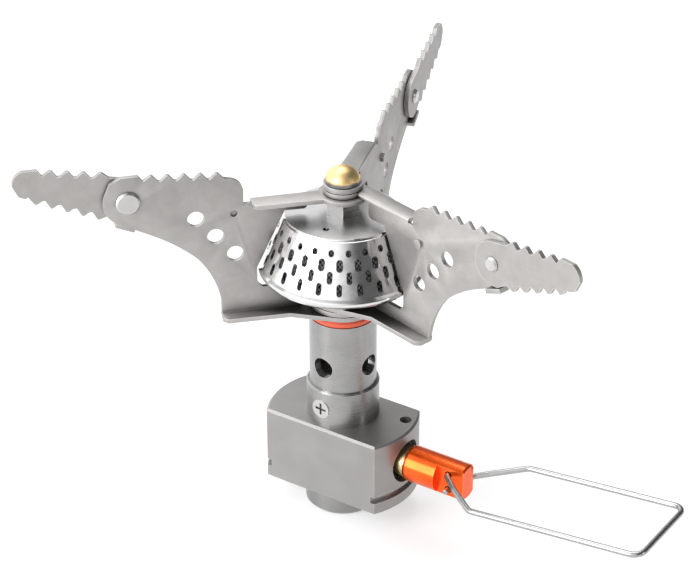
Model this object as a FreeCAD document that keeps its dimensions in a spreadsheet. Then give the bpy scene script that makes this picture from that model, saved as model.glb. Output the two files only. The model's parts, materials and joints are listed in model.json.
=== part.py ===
"""A canister-top camping stove: valve block, mixing tube, burner and three folding pot supports.

The frame: +Z up, the origin on the stem axis at the mouth of the canister connector.
+X is the axis of the valve spindle, on the side of the control knob.
Each pot support is drawn in its own upright plane, with local X outwards from the stem axis,
local Y to its anticlockwise side and Z up, and is then turned about Z to its azimuth.
"""
import FreeCAD, Part
import math
import os
import Sketcher

DOC = FreeCAD.newDocument("camping_stove")
V = FreeCAD.Vector
X_AXIS = V(1, 0, 0)
Y_AXIS = V(0, 1, 0)
Z_AXIS = V(0, 0, 1)

# Driving dimensions in millimetres and degrees. Heights are above the mouth of the connector,
# those of the mixing tube above the valve block, and those of the pot supports above the hubs.
DIMENSIONS = {
    # canister connector, a ring with the internal thread
    "ring_radius": 8.3, "ring_height": 5.0, "ring_chamfer": 0.8,
    "spigot_radius": 7.2, "spigot_height": 4.0, "thread_radius": 5.15, "thread_length": 6.5,
    "relief_radius": 5.7,
    # seal, opening pin and filter inside the connector
    "seal_section": 0.9, "seal_middle": 3.95, "opener_radius": 1.5, "opener_bore": 0.5,
    "opener_reach": 2.2, "opener_seat": 2.5, "opener_flange": 2.7, "opener_flange_thick": 0.6,
    "filter_radius": 2.2, "filter_thick": 1.2,
    # valve block, a round bar with two parallel flats
    "block_radius": 16.8, "block_height": 17.6, "block_half_flats": 9.2, "block_chamfer": 0.45,
    "groove_rise": 3.0, "groove_width": 1.7, "groove_depth": 0.9,
    "boss_radius": 5.5, "boss_height": 6.0, "passage_radius": 0.8,
    "grub_offset": 13.7, "grub_side": 4.0, "grub_radius": 1.35, "grub_depth": 3.0, "grub_share": 0.65,
    # valve bores along X, measured from the stem axis
    "valve_height": 15.2, "gland_radius": 4.9, "gland_floor": 11.5, "stem_bore": 3.0,
    "stem_floor": 5.0, "needle_bore": 1.6, "needle_floor": 1.2, "seat_radius": 0.5,
    "feed_offset": 1.9,
    # gland nut and bearing ring
    "gland_nut_end": 15.3, "gland_lip": 0.9, "bearing_radius": 3.7, "bearing_end": 17.6,
    "bearing_start": 12.2,
    # spindle, seal, knob
    "spindle_radius": 1.4, "spindle_thread": 2.9, "spindle_clearance": 0.08,
    "needle_tip": 1.3, "needle_cone": 1.6,
    "seal_groove_start": 2.2, "seal_groove_width": 1.6, "seal_wire": 0.42,
    "knob_radius": 4.05, "knob_start": 17.9, "knob_shoulder": 25.6, "knob_end": 32.1,
    "tongue_half": 2.15, "knob_chamfer": 0.4, "knob_socket": 5.0,
    "pivot_offset": 28.4, "hole_spread": 1.9, "hole_radius": 0.85,
    # wire handle
    "wire_radius": 0.65, "handle_half": 10.2, "handle_length": 50.3, "handle_tilt": 6.0,
    "near_bend": 10.0, "far_bend": 13.0, "handle_corner": 2.4, "leg_bend": 2.5,
    "wire_gap": 1.1, "wire_tip": 1.4, "wire_joint": 0.06,
    # gas jet
    "jet_stub": 1.9, "jet_stub_length": 2.5, "jet_flats": 2.5, "jet_hex_height": 2.2,
    "jet_nose": 1.7, "jet_nose_height": 2.0, "jet_orifice": 0.3,
    # mixing tube with its collar
    "tube_radius": 7.3, "tube_bore": 5.6, "tube_top": 24.8, "collar_radius": 7.95,
    "collar_top": 8.6, "collar_edge": 0.3, "air_hole_radius": 2.4, "air_hole_height": 14.2,
    "air_hole_azimuth": 86.0, "air_hole_count": 4,
    "setscrew_height": 4.2, "setscrew_radius": 2.15, "setscrew_slot": 0.55,
    "setscrew_azimuth": 266.0, "setscrew_proud": 0.1, "setscrew_span": 1.3,
    # red washer under the hubs
    "washer_thick": 1.6, "washer_radius": 7.4, "washer_edge": 0.45,
    # burner base, bridge and cap
    "base_neck_depth": 4.0, "base_wall": 0.8, "base_floor_radius": 8.2, "base_radius": 16.6,
    "base_rise": 5.9, "base_lip": 1.3, "bridge_width": 5.0, "bridge_thick": 1.8,
    "bridge_drop": 0.4,
    "cap_radius": 17.9, "cap_wall": 0.6, "cap_rim_height": 1.7, "cap_top_radius": 12.7,
    "cap_height": 13.2, "cap_lip": 0.55, "cap_groove": 0.55, "cap_hem": 0.2,
    "port_count": 24, "port_phase": 8.3, "port_half": 0.58, "port_half_large": 0.7,
    "port_drop": 2.6, "port_pitch": 2.35, "port_tall_first": 0.72, "port_tall": 1.25,
    "spreader_gap": 1.6, "spreader_wall": 0.3, "spreader_foot": 0.2,
    "dimple_radius": 0.7, "dimple_offset": 8.4, "dimple_azimuth": 279.0,
    # post, top washer and dome screw
    "post_flats": 3.33, "post_height": 3.7, "post_turn": 4.0, "stud_radius": 1.5,
    "pivot_radius": 2.0, "screw_bore": 1.0, "top_washer_radius": 3.75, "top_washer_thick": 0.6,
    "dome_radius": 3.65, "dome_edge": 0.35, "dome_height": 2.7, "screw_depth": 3.2,
    # pot supports
    "sheet": 1.0, "layer_gap": 0.2, "hub_radius": 7.3, "top_hub_radius": 4.15,
    "lowest_top_hub_radius": 5.2,
    "hub_clearance": 0.08, "arm_azimuth": 106.0, "left_arm_turn": 119.0, "right_arm_turn": 239.0,
    "arm_offset": 0.5, "flange_width": 4.2, "turned_flange_width": 3.5,
    "flange_reach": 26.2, "flare_reach": 11.9, "flare_turn": 64.0,
    "top_flange_reach": 19.4, "flange_corner": 1.0,
    "branch_start": 8.6, "branch_low": -0.5, "branch_inner": 12.8, "top_branch_start": 7.4,
    "branch_height": 2.7, "branch_corner": 1.0, "branch_rise": 2.2,
    "rim_margin": 0.8,
    "rim_gap": 0.4, "cut_low": 4.5, "cut_high": 20.5,
    "foot_reach": 26.1, "foot_height": 0.3, "waist_reach": 30.9, "waist_height": 11.0,
    "elbow_reach": 41.0, "elbow_height": 17.9, "lower_radius": 22.0, "upper_radius": 40.0,
    "shoulder_reach": 20.9, "shoulder_height": 26.3, "shoulder_radius": 3.2, "shoulder_run": 2.6,
    "tooth_start": 26.3, "tooth_height": 30.5, "tooth_pitch": 3.4, "tooth_rise": 0.2,
    "tooth_depth": 1.25, "tooth_tip": 0.25, "tooth_root": 0.3, "tooth_count": 5,
    "bump_share": 0.78,
    "hole_reach": 31.0, "hole_height": 20.4, "hole_step_in": 4.05, "hole_step_down": 4.5,
    "hole_half": 1.75, "peg_reach": 23.0, "peg_height": 20.9, "peg_radius": 0.95,
    "peg_proud": 0.8, "peg_recess": 0.55, "recess_radius": 0.8,
    "rivet_reach": 44.9, "rivet_height": 25.7, "end_radius": 5.2, "end_top_angle": 20.0,
    "end_under_angle": 62.0, "end_flat_drop": 1.2, "end_flat_run": 1.2,
    "rivet_radius": 1.25, "rivet_head": 2.55, "rivet_head_thick": 0.75, "rivet_tail": 1.6,
    "rivet_edge": 0.35,
    "rivet_tail_proud": 0.6, "rivet_clearance": 0.06,
    "stop_distance": 5.15, "stop_slope": 22.0, "stop_back": 3.6, "stop_front": 0.6,
    "stop_depth": 1.5,
    # folding extensions
    "leaf_gap": 0.15, "leaf_end_radius": 4.8, "heel_gap": 0.15, "heel_back": 0.4,
    "leaf_end_start": 100.0, "leaf_end_finish": 262.0, "leaf_throat": 1.9, "leaf_neck": 1.6,
    "leaf_neck_height": 30.9, "leaf_throat_rise": 0.6,
    "leaf_tooth_start": 50.1, "leaf_tooth_height": 32.5, "leaf_tooth_rise": 0.5,
    "leaf_tooth_count": 4, "leaf_low_start": 50.9, "leaf_low_height": 21.9,
    "leaf_low_pitch": 3.15, "leaf_low_rise": 1.2, "leaf_low_count": 5,
    "leaf_tip": 68.2, "leaf_tip_height": 31.3, "leaf_top_end": 66.2, "leaf_top_height": 34.4,
    "leaf_corner": 67.0, "leaf_corner_height": 28.8, "leaf_corner_run": 1.4,
    "leaf_corner_drop": 0.6, "leaf_tip_radius": 3.4,
}

SHEET = DOC.addObject("Spreadsheet::Sheet", "dims")
for row, (alias, number) in enumerate(DIMENSIONS.items(), start=1):
    SHEET.set("A%d" % row, alias)
    SHEET.set("B%d" % row, str(number))
    SHEET.setAlias("B%d" % row, alias)
DOC.recompute()


class Size:
    """A length or angle that knows its number and the expression that gives it."""

    def __init__(self, number, text=None):
        self.number = float(number)
        self.text = text if text is not None else repr(round(float(number), 9))

    def join(self, other, sign, number):
        return Size(number, "(%s %s %s)" % (self.text, sign, as_size(other).text))

    def __add__(self, other):
        return self.join(other, "+", self.number + as_size(other).number)

    def __sub__(self, other):
        return self.join(other, "-", self.number - as_size(other).number)

    def __mul__(self, other):
        return self.join(other, "*", self.number * as_size(other).number)

    def __truediv__(self, other):
        return self.join(other, "/", self.number / as_size(other).number)

    def __radd__(self, other):
        return as_size(other) + self

    def __rsub__(self, other):
        return as_size(other) - self

    def __rmul__(self, other):
        return as_size(other) * self

    def __neg__(self):
        return as_size(0) - self


def as_size(value):
    return value if isinstance(value, Size) else Size(value)


def cosine(angle):
    return Size(math.cos(math.radians(angle.number)), "cos(%s * 1 deg)" % angle.text)


def sine(angle):
    return Size(math.sin(math.radians(angle.number)), "sin(%s * 1 deg)" % angle.text)


class Dimensions:
    """Reads a driving dimension from the sheet by name."""

    def __getattr__(self, alias):
        return Size(SHEET.get(alias), "dims." + alias)


class Raised(Dimensions):
    """Reads dimensions that are heights above a level, as heights above the mouth."""

    def __init__(self, level):
        self.level = level

    def __getattr__(self, alias):
        return self.level + super().__getattr__(alias)


d = Dimensions()

# Heights that follow from the driving dimensions.
BLOCK_FLOOR = d.ring_height
BLOCK_TOP = d.ring_height + d.block_height
SOCKET_TOP = d.ring_height + d.spigot_height
above_block = Raised(BLOCK_TOP)
HUB_FLOOR = above_block.tube_top + d.washer_thick + d.layer_gap / 2
LAYER = d.sheet + d.layer_gap
BASE_FLOOR = HUB_FLOOR + 3 * LAYER
above_base = Raised(BASE_FLOOR)
CAP_FLOOR = BASE_FLOOR + d.base_rise
CAP_TOP = CAP_FLOOR + d.cap_height
POST_TOP = CAP_TOP + d.post_height
TOP_HUB_FLOOR = POST_TOP + d.layer_gap / 2
STACK_TOP = TOP_HUB_FLOOR + 3 * LAYER
DOME_FLOOR = STACK_TOP + d.top_washer_thick

NODES = []


def bind(thing, name, size):
    """Sets a property to a size and ties it to the sheet."""
    thing.setExpression(name, as_size(size).text)


def kept(thing, label):
    """Gives a finished sub-part its label and keeps it for export."""
    thing.Label = label
    NODES.append(thing)
    return thing


def new_body(name, placement=None):
    body = DOC.addObject("PartDesign::Body", name)
    if placement is not None:
        body.Placement = placement
    return body


def plane_of(body, role):
    return [plane for plane in body.Origin.OriginFeatures if plane.Role == role][0]


def new_sketch(body, name, role, offset=None):
    sketch = body.newObject("Sketcher::SketchObject", name)
    sketch.AttachmentSupport = [(plane_of(body, role), "")]
    sketch.MapMode = "FlatFace"
    if offset is not None:
        bind(sketch, ".AttachmentOffset.Base.z", offset)
    return sketch


def pin_point(sketch, edge, end, x, y):
    """Ties one end of a sketch edge to two sizes measured from the sketch origin."""
    for kind, size, axis in (("DistanceX", as_size(x), -2), ("DistanceY", as_size(y), -1)):
        if size.number == 0:
            sketch.addConstraint(Sketcher.Constraint("PointOnObject", edge, end, axis))
            continue
        number = sketch.addConstraint(Sketcher.Constraint(kind, -1, 1, edge, end, size.number))
        bind(sketch, "Constraints[%d]" % number, size)


def arc_middle(start, end, radius, side):
    """The middle of the shorter arc from start to end, bulging to the left for side 1."""
    chord = end - start
    half = chord.Length / 2
    sagitta = radius - math.sqrt(max(radius * radius - half * half, 0))
    normal = V(-chord.y, chord.x, 0) / chord.Length
    return (start + end) / 2 + normal * sagitta * side


def draw_outline(sketch, points):
    """Draws a closed outline. A point is (x, y), or (x, y, radius, side) where an arc follows."""
    places = [V(as_size(p[0]).number, as_size(p[1]).number, 0) for p in points]
    count = len(points)
    first = sketch.GeometryCount
    for index, point in enumerate(points):
        start = places[index]
        end = places[(index + 1) % count]
        if len(point) == 2:
            sketch.addGeometry(Part.LineSegment(start, end), False)
            continue
        middle = arc_middle(start, end, point[2].number, point[3])
        sketch.addGeometry(Part.Arc(start, middle, end), False)
    ends = []
    for index, point in enumerate(points):
        forward = len(point) == 2 or point[3] < 0
        ends.append((1, 2) if forward else (2, 1))
    for index, point in enumerate(points):
        edge = first + index
        nearest = first + (index + 1) % count
        joined = (edge, ends[index][1], nearest, ends[(index + 1) % count][0])
        sketch.addConstraint(Sketcher.Constraint("Coincident", *joined))
        pin_point(sketch, edge, ends[index][0], point[0], point[1])
        if len(point) > 2:
            number = sketch.addConstraint(Sketcher.Constraint("Radius", edge, point[2].number))
            bind(sketch, "Constraints[%d]" % number, point[2])


def draw_circle(sketch, x, y, radius):
    centre = V(as_size(x).number, as_size(y).number, 0)
    edge = sketch.addGeometry(Part.Circle(centre, Z_AXIS, as_size(radius).number), False)
    pin_point(sketch, edge, 3, x, y)
    number = sketch.addConstraint(Sketcher.Constraint("Radius", edge, as_size(radius).number))
    bind(sketch, "Constraints[%d]" % number, radius)


def pad(body, sketch, thickness, reverse=False):
    feature = body.newObject("PartDesign::Pad", "Pad")
    feature.Profile = sketch
    bind(feature, "Length", thickness)
    feature.Reversed = reverse
    return feature


def pocket(body, sketch, depth, reverse=False):
    feature = body.newObject("PartDesign::Pocket", "Pocket")
    feature.Profile = sketch
    bind(feature, "Length", depth)
    feature.Reversed = reverse
    return feature


def turned(name, outline, placement=None):
    """A body turned about its own Z axis, from an outline of (radius, height) points."""
    body = new_body(name, placement)
    sketch = new_sketch(body, name + "_outline", "XZ_Plane")
    draw_outline(sketch, outline)
    feature = body.newObject("PartDesign::Revolution", name + "_turn")
    feature.Profile = sketch
    feature.ReferenceAxis = (sketch, ["V_Axis"])
    feature.Angle = 360
    return body


def cylinder(name, radius, height, base, along=Z_AXIS, turn=0.0):
    """A Part cylinder from base, along +Z, +X or a level direction turned about Z."""
    shape = DOC.addObject("Part::Cylinder", name)
    bind(shape, "Radius", radius)
    bind(shape, "Height", height)
    rotation = FreeCAD.Rotation(Z_AXIS, along)
    shape.Placement = FreeCAD.Placement(V(0, 0, 0), FreeCAD.Rotation(Z_AXIS, turn) * rotation)
    for axis, size in zip("xyz", base):
        bind(shape, ".Placement.Base." + axis, size)
    return shape


def box(name, sizes, base, rotation=None):
    shape = DOC.addObject("Part::Box", name)
    for prop, size in zip(("Length", "Width", "Height"), sizes):
        bind(shape, prop, size)
    if rotation is not None:
        shape.Placement = FreeCAD.Placement(V(0, 0, 0), rotation)
    for axis, size in zip("xyz", base):
        bind(shape, ".Placement.Base." + axis, size)
    return shape


def cut(name, base, tools):
    result = DOC.addObject("Part::Cut", name)
    result.Base = base
    result.Tool = tools[0] if len(tools) == 1 else fuse(name + "_tools", tools)
    return result


def fuse(name, shapes):
    result = DOC.addObject("Part::MultiFuse", name)
    result.Shapes = shapes
    return result


def hexagon(name, flats, height, base_height, turn):
    """A hexagonal prism about Z, with half its width across flats."""
    prism = DOC.addObject("Part::Prism", name)
    prism.Polygon = 6
    bind(prism, "Circumradius", flats / cosine(Size(30)))
    bind(prism, "Height", height)
    prism.Placement = FreeCAD.Placement(V(0, 0, 0), FreeCAD.Rotation(Z_AXIS, turn))
    bind(prism, ".Placement.Base.z", base_height)
    return prism


# ---------------------------------------------------------------- connector and its insides

def make_connector():
    top = SOCKET_TOP
    kept(turned("canister_connector", [
        (d.thread_radius, 0),
        (d.ring_radius - d.ring_chamfer, 0),
        (d.ring_radius, d.ring_chamfer),
        (d.ring_radius, d.ring_height),
        (d.spigot_radius, d.ring_height),
        (d.spigot_radius, top),
        (d.relief_radius, top),
        (d.relief_radius, d.thread_length),
        (d.thread_radius, d.thread_length)]), "canister_connector")
    seal = DOC.addObject("Part::Torus", "connector_seal")
    bind(seal, "Radius1", d.seal_middle)
    bind(seal, "Radius2", d.seal_section)
    bind(seal, ".Placement.Base.z", top - d.seal_section)
    kept(seal, "connector_seal")
    low = top - d.opener_reach
    kept(turned("opener_pin", [
        (d.opener_bore, low),
        (d.opener_radius, low),
        (d.opener_radius, top - d.opener_flange_thick),
        (d.opener_flange, top - d.opener_flange_thick),
        (d.opener_flange, top),
        (d.opener_radius, top),
        (d.opener_radius, top + d.opener_seat),
        (d.opener_bore, top + d.opener_seat)]), "opener_pin")
    base = (0, 0, top + d.opener_seat)
    kept(cylinder("inlet_filter", d.filter_radius, d.filter_thick, base), "inlet_filter")


# ---------------------------------------------------------------- valve block

def block_blank():
    """The round bar with its groove, common with a bar that has the two chamfered flats."""
    groove = BLOCK_FLOOR + d.groove_rise
    edge = d.block_chamfer
    core = d.block_radius - d.groove_depth
    round_bar = turned("block_round", [
        (0, BLOCK_FLOOR),
        (d.block_radius - edge, BLOCK_FLOOR),
        (d.block_radius, BLOCK_FLOOR + edge),
        (d.block_radius, groove),
        (core, groove),
        (core, groove + d.groove_width),
        (d.block_radius, groove + d.groove_width),
        (d.block_radius, BLOCK_TOP - edge),
        (d.block_radius - edge, BLOCK_TOP),
        (0, BLOCK_TOP)])
    flat_bar = new_body("block_flats")
    sketch = new_sketch(flat_bar, "block_flats_outline", "YZ_Plane", -d.block_radius)
    half = d.block_half_flats
    draw_outline(sketch, [
        (half - edge, BLOCK_FLOOR), (half, BLOCK_FLOOR + edge),
        (half, BLOCK_TOP - edge), (half - edge, BLOCK_TOP),
        (edge - half, BLOCK_TOP), (-half, BLOCK_TOP - edge),
        (-half, BLOCK_FLOOR + edge), (edge - half, BLOCK_FLOOR)])
    pad(flat_bar, sketch, 2 * d.block_radius)
    blank = DOC.addObject("Part::Common", "block_blank")
    blank.Base = round_bar
    blank.Tool = flat_bar
    return blank


def make_block():
    boss = cylinder("block_boss", d.boss_radius, d.boss_height, (0, 0, BLOCK_TOP))
    filter_floor = SOCKET_TOP + d.opener_seat
    jet_floor = BLOCK_TOP + d.boss_height - d.jet_stub_length
    along_x = (
        ("gland_bore", d.gland_radius, d.gland_floor, d.block_radius),
        ("stem_bore_cut", d.stem_bore, d.stem_floor, d.gland_floor),
        ("needle_bore_cut", d.needle_bore, d.needle_floor, d.stem_floor),
        ("seat_cut", d.seat_radius, as_size(0), d.needle_floor))
    tools = [
        cylinder(name, radius, end - start, (start, 0, d.valve_height), X_AXIS)
        for name, radius, start, end in along_x]
    along_z = (
        ("socket_cut", d.spigot_radius, 0, BLOCK_FLOOR, SOCKET_TOP),
        ("opener_cut", d.opener_radius, 0, SOCKET_TOP, filter_floor),
        ("filter_cut", d.filter_radius, 0, filter_floor, filter_floor + d.filter_thick),
        ("feed_cut", d.seat_radius, d.feed_offset, filter_floor, d.valve_height),
        ("riser_cut", d.passage_radius, 0, d.valve_height, jet_floor),
        ("jet_cut", d.jet_stub, 0, jet_floor, jet_floor + d.jet_stub_length))
    for name, radius, across, start, end in along_z:
        tools.append(cylinder(name, radius, end - start, (across, 0, start)))
    grub_floor = BLOCK_TOP - d.grub_depth
    tools.append(cylinder("grub_cut", d.grub_radius, d.grub_depth,
                          (d.grub_offset, d.grub_side, grub_floor)))
    whole = fuse("block_whole", [block_blank(), boss])
    kept(cut("valve_block", whole, tools), "valve_block")


def make_block_fittings():
    """The grub screw in the block's top face and the gas jet on its boss."""
    floor = BLOCK_TOP - d.grub_depth
    height = d.grub_depth * d.grub_share
    screw = cylinder("grub_blank", d.grub_radius, height, (d.grub_offset, d.grub_side, floor))
    socket = cylinder("grub_socket", d.grub_radius * 0.5, height * 0.5,
                      (d.grub_offset, d.grub_side, floor + height * 0.5))
    kept(cut("block_grub_screw", screw, [socket]), "block_grub_screw")
    top = BLOCK_TOP + d.boss_height
    stub = cylinder("jet_stub_blank", d.jet_stub, d.jet_stub_length, (0, 0, top - d.jet_stub_length))
    flats = hexagon("jet_hex", d.jet_flats, d.jet_hex_height, top, 15)
    nose = DOC.addObject("Part::Cone", "jet_nose_cone")
    bind(nose, "Radius1", d.jet_nose)
    bind(nose, "Radius2", d.jet_nose * 0.5)
    bind(nose, "Height", d.jet_nose_height)
    bind(nose, ".Placement.Base.z", top + d.jet_hex_height)
    length = d.jet_stub_length + d.jet_hex_height + d.jet_nose_height
    orifice = cylinder("jet_orifice_cut", d.jet_orifice, length, (0, 0, top - d.jet_stub_length))
    solid = fuse("jet_solid", [stub, flats, nose])
    kept(cut("gas_jet", solid, [orifice]), "gas_jet")


def valve_placement():
    """Turns a body's own Z onto the valve axis."""
    return FreeCAD.Placement(V(0, 0, 0), FreeCAD.Rotation(Y_AXIS, 90))


def turned_on_valve(name, outline):
    body = turned(name, outline, valve_placement())
    bind(body, ".Placement.Base.z", d.valve_height)
    return body


def make_gland():
    slack = d.spindle_clearance
    kept(turned_on_valve("gland_nut", [
        (d.bearing_radius, d.bearing_start),
        (d.spindle_thread + slack, d.bearing_start),
        (d.spindle_thread + slack, d.gland_floor),
        (d.gland_radius, d.gland_floor),
        (d.gland_radius, d.gland_nut_end),
        (d.gland_radius - d.gland_lip, d.gland_nut_end),
        (d.bearing_radius, d.gland_nut_end - d.gland_lip)]), "gland_nut")
    kept(turned_on_valve("bearing_ring", [
        (d.spindle_thread + slack, d.bearing_start),
        (d.bearing_radius, d.bearing_start),
        (d.bearing_radius, d.bearing_end),
        (d.spindle_thread + slack, d.bearing_end)]), "bearing_ring")


def make_spindle():
    """The needle, its two plain lengths and the shank inside the knob."""
    thread = d.spindle_thread
    tip = d.needle_tip
    neck = d.spindle_radius
    ring_start = d.stem_floor + d.seal_groove_start
    ring_end = ring_start + d.seal_groove_width
    core = thread - 2 * d.seal_wire
    kept(turned_on_valve("valve_spindle", [
        (0, tip),
        (neck, tip + d.needle_cone),
        (neck, d.stem_floor + d.seal_wire),
        (thread, d.stem_floor + d.seal_wire),
        (thread, ring_start),
        (core, ring_start),
        (core, ring_end),
        (thread, ring_end),
        (thread, d.knob_start),
        (neck, d.knob_start),
        (neck, d.knob_start + d.knob_socket),
        (0, d.knob_start + d.knob_socket)]), "valve_spindle")
    seal = DOC.addObject("Part::Torus", "spindle_seal")
    bind(seal, "Radius1", thread - d.seal_wire)
    bind(seal, "Radius2", d.seal_wire)
    seal.Placement = valve_placement()
    bind(seal, ".Placement.Base.x", (ring_start + ring_end) / 2)
    bind(seal, ".Placement.Base.z", d.valve_height)
    kept(seal, "spindle_seal")


def make_knob():
    """A turned knob with a flat tongue that two cross holes go through."""
    edge = d.knob_chamfer
    blank = turned_on_valve("knob_blank", [
        (d.spindle_radius, d.knob_start),
        (d.knob_radius - edge, d.knob_start),
        (d.knob_radius, d.knob_start + edge),
        (d.knob_radius, d.knob_end - edge),
        (d.knob_radius - edge, d.knob_end),
        (0, d.knob_end),
        (0, d.knob_start + d.knob_socket),
        (d.spindle_radius, d.knob_start + d.knob_socket)])
    reach = d.knob_end - d.knob_shoulder
    depth = d.knob_radius - d.tongue_half
    low = d.valve_height - d.knob_radius
    tools = [
        box("tongue_front", (reach, depth, 2 * d.knob_radius), (d.knob_shoulder, -d.knob_radius, low)),
        box("tongue_back", (reach, depth, 2 * d.knob_radius), (d.knob_shoulder, d.tongue_half, low))]
    for name, rise in (("hole_upper", d.hole_spread), ("hole_lower", -d.hole_spread)):
        base = (d.pivot_offset, -d.knob_radius, d.valve_height + rise)
        tools.append(cylinder(name, d.hole_radius, 2 * d.knob_radius, base, Y_AXIS))
    kept(cut("control_knob", blank, tools), "control_knob")


# ---------------------------------------------------------------- wire handle

def rounded_path(points, radii):
    """A wire of straight runs joined by tangent arcs, one radius for each inner point."""
    edges = []
    start = points[0]
    for index, radius in enumerate(radii, start=1):
        corner = points[index]
        back = (points[index - 1] - corner).normalize()
        ahead = (points[index + 1] - corner).normalize()
        half = back.getAngle(ahead) / 2
        reach = radius / math.tan(half)
        first = corner + back * reach
        last = corner + ahead * reach
        middle = corner + (back + ahead).normalize() * (radius / math.sin(half) - radius)
        edges.append(Part.LineSegment(start, first).toShape())
        edges.append(Part.Arc(first, middle, last).toShape())
        start = last
    edges.append(Part.LineSegment(start, points[-1]).toShape())
    return Part.Wire(edges)


def wire_solid(path, radius):
    """A round wire swept along a path, with flat ends."""
    first = path.OrderedEdges[0]
    start = first.valueAt(first.FirstParameter)
    direction = first.tangentAt(first.FirstParameter)
    section = Part.Wire([Part.makeCircle(radius, start, direction)])
    return path.makePipeShell([section], True, True)


def make_handle():
    """The loop swings about the middle of the two cross holes; its two ends stay in the holes."""
    tilt = math.radians(d.handle_tilt.number)
    pivot = V(d.pivot_offset.number, 0, d.valve_height.number)
    forward = V(math.cos(tilt), 0, math.sin(tilt))
    lift = V(-math.sin(tilt), 0, math.cos(tilt))

    def at(run, side, rise=0.0):
        return pivot + forward * run + Y_AXIS * side + lift * rise

    half = d.handle_half.number
    length = d.handle_length.number
    spread = d.hole_spread.number
    root = d.tongue_half.number + d.wire_gap.number
    corner = d.handle_corner.number
    bend = d.leg_bend.number
    points = [
        at(0, -root, spread), at(d.near_bend.number, -half), at(length, -half),
        at(length, half), at(d.far_bend.number, half), at(0, root, -spread)]
    path = rounded_path(points, [bend, corner, corner, bend])
    loop = DOC.addObject("Part::Feature", "handle_wire")
    loop.Shape = wire_solid(path, d.wire_radius.number)
    kept(loop, "handle_wire")

    inner = d.tongue_half.number + d.wire_joint.number
    tip = d.tongue_half.number + d.wire_tip.number
    ends = []
    for side, rise in ((-1, spread), (1, -spread)):
        start = pivot + Y_AXIS * side * inner + Z_AXIS * rise
        ends.append(Part.makeCylinder(d.wire_radius.number, inner + tip, start, Y_AXIS * -side))
    pins = DOC.addObject("Part::Feature", "handle_wire_ends")
    pins.Shape = Part.makeCompound(ends)
    kept(pins, "handle_wire_ends")


# ---------------------------------------------------------------- mixing tube and hub washer

def make_tube():
    edge = d.collar_edge
    blank = turned("tube_blank", [
        (d.tube_bore, BLOCK_TOP),
        (d.collar_radius, BLOCK_TOP),
        (d.collar_radius, above_block.collar_top - edge),
        (d.collar_radius - edge, above_block.collar_top),
        (d.tube_radius, above_block.collar_top),
        (d.tube_radius, above_block.tube_top),
        (d.tube_bore, above_block.tube_top)])
    tools = []
    for index in range(int(d.air_hole_count.number)):
        azimuth = d.air_hole_azimuth.number + index * 360.0 / d.air_hole_count.number
        tools.append(cylinder("air_hole_%d" % index, d.air_hole_radius, 2 * d.tube_radius,
                              (0, 0, above_block.air_hole_height), X_AXIS, azimuth))
    azimuth = d.setscrew_azimuth.number
    tools.append(cylinder("setscrew_hole", d.setscrew_radius, 2 * d.collar_radius,
                          (0, 0, above_block.setscrew_height), X_AXIS, azimuth))
    kept(cut("mixing_tube", blank, tools), "mixing_tube")


def make_collar_screw():
    """A short screw in the collar, with a cross recess in its outer end."""
    azimuth = d.setscrew_azimuth.number
    turn = FreeCAD.Rotation(Z_AXIS, azimuth)
    start = d.boss_radius
    end = d.collar_radius + d.setscrew_proud
    facing = (cosine(d.setscrew_azimuth), sine(d.setscrew_azimuth))
    base = (start * facing[0], start * facing[1], above_block.setscrew_height)
    blank = cylinder("collar_screw_blank", d.setscrew_radius, end - start, base, X_AXIS, azimuth)
    depth = (end - start) / 2
    span = d.setscrew_radius * d.setscrew_span
    slot = d.setscrew_slot
    tools = []
    for name, wide, tall in (("recess_level", span, slot), ("recess_upright", slot, span)):
        near = end - depth
        corner = (near * facing[0] + wide / 2 * facing[1],
                  near * facing[1] - wide / 2 * facing[0],
                  above_block.setscrew_height - tall / 2)
        tools.append(box(name, (depth, wide, tall), corner, turn))
    kept(cut("collar_screw", blank, tools), "collar_screw")


def make_hub_washer():
    edge = d.washer_edge
    floor = above_block.tube_top
    top = floor + d.washer_thick
    kept(turned("hub_washer", [
        (d.tube_bore, floor),
        (d.washer_radius - edge, floor),
        (d.washer_radius, floor + edge),
        (d.washer_radius, top - edge),
        (d.washer_radius - edge, top),
        (d.tube_bore, top)]), "hub_washer")


# ---------------------------------------------------------------- burner

def make_base():
    wall = d.base_wall
    neck = d.tube_bore
    kept(turned("burner_base", [
        (neck - wall, above_block.tube_top - d.base_neck_depth),
        (neck, above_block.tube_top - d.base_neck_depth),
        (neck, BASE_FLOOR),
        (d.base_floor_radius, BASE_FLOOR),
        (d.base_radius, CAP_FLOOR),
        (d.base_radius, CAP_FLOOR + d.base_lip),
        (d.base_radius - wall, CAP_FLOOR + d.base_lip),
        (d.base_radius - wall, CAP_FLOOR + wall / 2),
        (d.base_floor_radius - wall / 2, BASE_FLOOR + wall),
        (neck - wall, BASE_FLOOR + wall)]), "burner_base")
    inner = neck - wall
    floor = BASE_FLOOR - d.bridge_drop - d.bridge_thick
    bar = box("bridge_bar", (2 * inner, d.bridge_width, d.bridge_thick),
              (-inner, -d.bridge_width / 2, floor))
    disc = cylinder("bridge_disc", inner, d.bridge_thick, (0, 0, floor))
    common = DOC.addObject("Part::Common", "bridge_blank")
    common.Base = bar
    common.Tool = disc
    bore = cylinder("bridge_bore", d.stud_radius, d.bridge_thick, (0, 0, floor))
    kept(cut("base_bridge", common, [bore]), "base_bridge")


def cap_wall_radius(height):
    """The outer radius of the conical wall at a height below its rounded top edge."""
    top = CAP_TOP - d.cap_lip
    foot = CAP_FLOOR + d.cap_rim_height
    run = d.cap_radius - d.cap_groove - d.cap_top_radius
    return d.cap_top_radius + run * (top - height) / (top - foot)


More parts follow.
